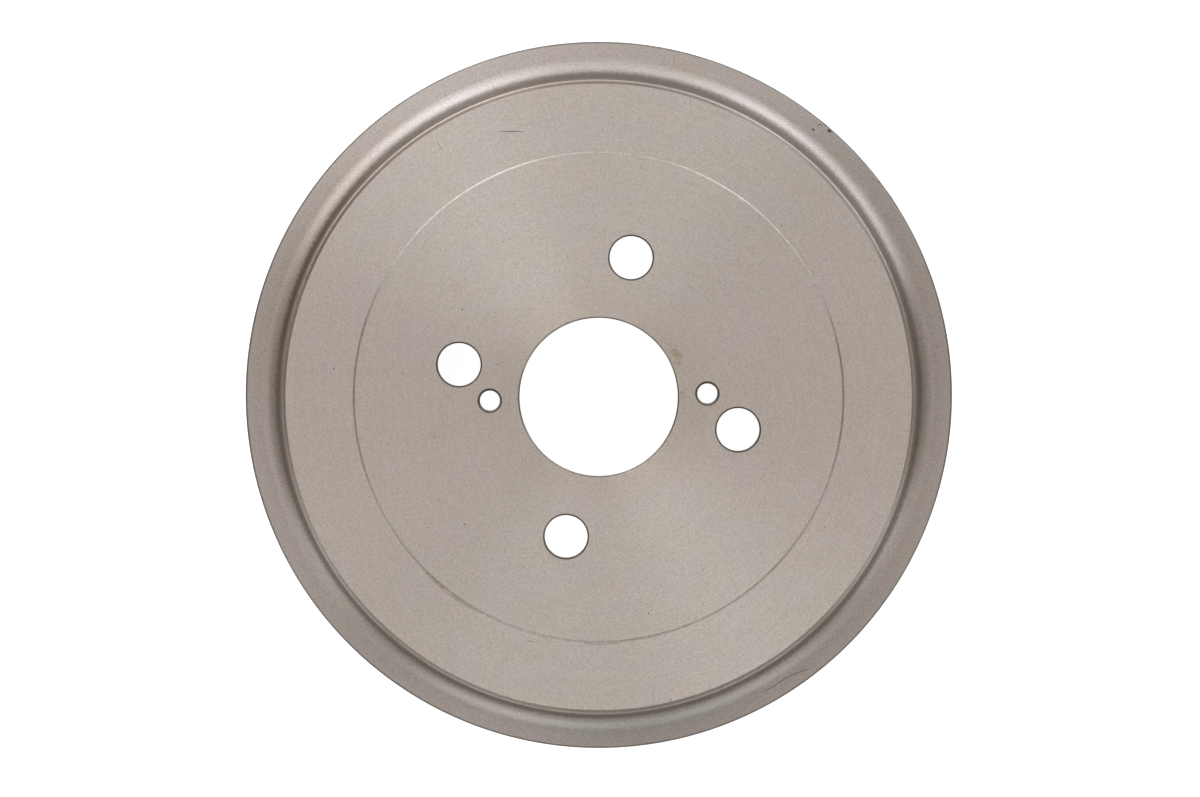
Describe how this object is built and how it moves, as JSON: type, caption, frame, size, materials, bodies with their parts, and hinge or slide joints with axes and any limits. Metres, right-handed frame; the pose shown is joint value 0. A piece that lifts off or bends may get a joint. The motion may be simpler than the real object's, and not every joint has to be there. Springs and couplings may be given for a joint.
{
  "type": "brake drum",
  "caption": "Cup-shaped cast-iron brake drum with a raised wheel seat, pilot bore, stud and jacking holes, an outer flange and a labyrinth groove round its open rim.",
  "frame": {"origin": "on the axle axis, in the plane of the open rim that the drum stands on", "axes": "+Z along the axle, from the open rim to the wheel face; +X through one jacking hole"},
  "size_m": [0.25, 0.25, 0.057],
  "materials": {
    "iron": "bare, fine-turned, satin"
  },
  "bodies": {
    "root": {"brake_drum": "iron"}
  },
  "joints": []
}
